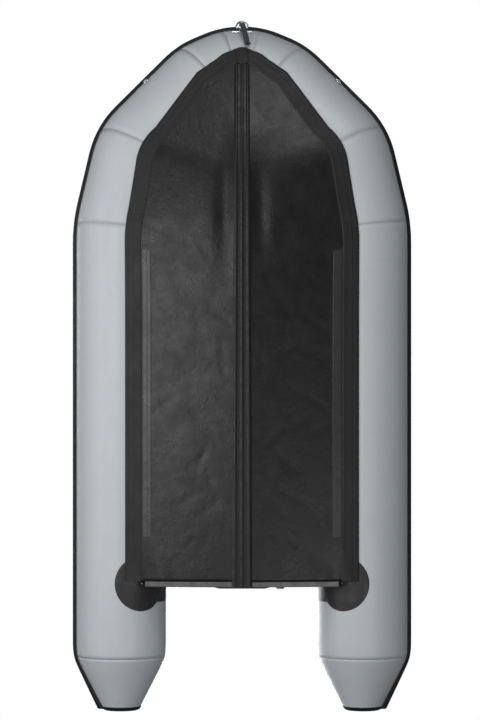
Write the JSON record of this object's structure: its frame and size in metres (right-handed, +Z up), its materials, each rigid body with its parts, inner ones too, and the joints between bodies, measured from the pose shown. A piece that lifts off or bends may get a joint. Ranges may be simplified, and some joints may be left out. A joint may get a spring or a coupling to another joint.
{
  "type": "inflatable dinghy",
  "caption": "Inflatable boat with grey buoyancy tubes, black V bottom with inflated keel, transom for an outboard motor, floorboards, seats and rowlocks.",
  "frame": {"origin": "middle of the boat at the level of the keel guard's underside", "axes": "+X towards the bow, +Y to port, +Z up"},
  "size_m": [3.3216, 1.6242, 0.688],
  "materials": {
    "grey_fabric": "satin",
    "black_fabric": "satin",
    "black_rubber": "satin",
    "black_plastic": "satin",
    "grey_plastic": "satin",
    "transom_ply": "satin",
    "varnished_ply": "satin",
    "alloy": "satin",
    "stainless": "polished",
    "black_braid": "matte"
  },
  "bodies": {
    "hull": {"side_tube_port": "grey_fabric", "side_tube_starboard": "grey_fabric", "shoulder_port": "grey_fabric", "shoulder_starboard": "grey_fabric", "cheek_port": "grey_fabric", "cheek_starboard": "grey_fabric", "bow_panel": "grey_fabric", "tail_cone_port": "grey_fabric", "tail_cone_starboard": "grey_fabric", "end_cap_port": "black_rubber", "end_cap_starboard": "black_rubber", "baffles": "grey_fabric", "rub_strake_port": "black_rubber", "rub_strake_starboard": "black_rubber", "bottom_skin_port": "black_fabric", "bottom_skin_starboard": "black_fabric", "chine_tape_port": "black_fabric", "chine_tape_starboard": "black_fabric", "wear_strips": "black_fabric", "air_keel": "black_fabric", "keel_guard": "black_rubber", "keel_nose_patch": "black_rubber", "transom_board": "transom_ply", "transom_holder_port": "black_rubber", "transom_holder_starboard": "black_rubber", "outer_motor_pad": "black_plastic", "inner_motor_pad": "black_plastic", "pad_screws": "stainless", "drain_socket": "black_plastic", "floorboard_aft": "varnished_ply", "floorboard_middle": "varnished_ply", "floorboard_fore": "varnished_ply", "floor_joiners": "alloy", "floor_stringers": "alloy", "seat_tracks": "black_rubber", "rowlock_base_port": "black_plastic", "rowlock_base_starboard": "black_plastic", "valve_bodies": "black_plastic", "tow_patches": "grey_fabric", "bow_bracket": "stainless", "bow_strap": "black_braid", "grab_lines": "black_braid", "line_guides": "black_rubber"},
    "seat_aft": {"seat_board_aft": "varnished_ply", "seat_channels_aft": "alloy"},
    "seat_fore": {"seat_board_fore": "varnished_ply", "seat_channels_fore": "alloy"},
    "lock_port": {"rowlock_port": "stainless"},
    "lock_starboard": {"rowlock_starboard": "stainless"},
    "stem_port": {"valve_stem_port": "grey_plastic"},
    "stem_starboard": {"valve_stem_starboard": "grey_plastic"},
    "stem_keel": {"valve_stem_keel": "grey_plastic"},
    "cap_port": {"valve_cap_port": "black_plastic"},
    "cap_starboard": {"valve_cap_starboard": "black_plastic"},
    "cap_keel": {"valve_cap_keel": "black_plastic"},
    "plug": {"drain_plug": "grey_plastic"},
    "ring_port": {"tow_ring_port": "stainless"},
    "ring_starboard": {"tow_ring_starboard": "stainless"},
    "ring_bow": {"bow_ring": "stainless"}
  },
  "joints": [
    {"name": "seat_aft_slide", "type": "slide", "parent": "hull", "child": "seat_aft", "axis": [1, 0, 0], "range_m": [-0.08, 0.08]},
    {"name": "seat_fore_slide", "type": "slide", "parent": "hull", "child": "seat_fore", "axis": [1, 0, 0], "range_m": [-0.08, 0.08]},
    {"name": "rowlock_port_swivel", "type": "hinge", "parent": "hull", "child": "lock_port", "pos_m": [-0.05075, 0.58, 0.538], "axis": [0, 0, 1], "continuous": true},
    {"name": "rowlock_starboard_swivel", "type": "hinge", "parent": "hull", "child": "lock_starboard", "pos_m": [-0.05075, -0.58, 0.538], "axis": [0, 0, 1], "continuous": true},
    {"name": "valve_stem_port_push", "type": "slide", "parent": "hull", "child": "stem_port", "axis": [0, 0.5736, -0.8192], "range_m": [0, 0.005], "stiffness_N_per_m": 600, "springref_m": -0.002},
    {"name": "valve_stem_starboard_push", "type": "slide", "parent": "hull", "child": "stem_starboard", "axis": [0, -0.5736, -0.8192], "range_m": [0, 0.005], "stiffness_N_per_m": 600, "springref_m": -0.002},
    {"name": "valve_stem_keel_push", "type": "slide", "parent": "hull", "child": "stem_keel", "axis": [0, 0, -1], "range_m": [0, 0.005], "stiffness_N_per_m": 600, "springref_m": -0.002},
    {"name": "valve_cap_port_turn", "type": "hinge", "parent": "hull", "child": "cap_port", "pos_m": [-0.80075, 0.45668, 0.45912], "axis": [0, -0.5736, 0.8192], "range_deg": [0, 120]},
    {"name": "valve_cap_starboard_turn", "type": "hinge", "parent": "hull", "child": "cap_starboard", "pos_m": [-0.80075, -0.45668, 0.45912], "axis": [0, 0.5736, 0.8192], "range_deg": [0, 120]},
    {"name": "valve_cap_keel_turn", "type": "hinge", "parent": "hull", "child": "cap_keel", "pos_m": [-0.87675, 0, 0.12613], "axis": [0, 0, 1], "range_deg": [0, 120]},
    {"name": "drain_plug_pull", "type": "slide", "parent": "hull", "child": "plug", "axis": [-1, 0, 0], "range_m": [0, 0.03]},
    {"name": "tow_ring_port_swing", "type": "hinge", "parent": "hull", "child": "ring_port", "pos_m": [1.35949, 0.4642, 0.3166], "axis": [0.6942, -0.6703, 0.2623], "range_deg": [0, 100]},
    {"name": "tow_ring_starboard_swing", "type": "hinge", "parent": "hull", "child": "ring_starboard", "pos_m": [1.35949, -0.4642, 0.3166], "axis": [-0.6942, -0.6703, -0.2623], "range_deg": [0, 100]},
    {"name": "bow_ring_swing", "type": "hinge", "parent": "hull", "child": "ring_bow", "pos_m": [1.62875, 0, 0.40905], "axis": [0, 1, 0], "range_deg": [-12, 12]}
  ]
}
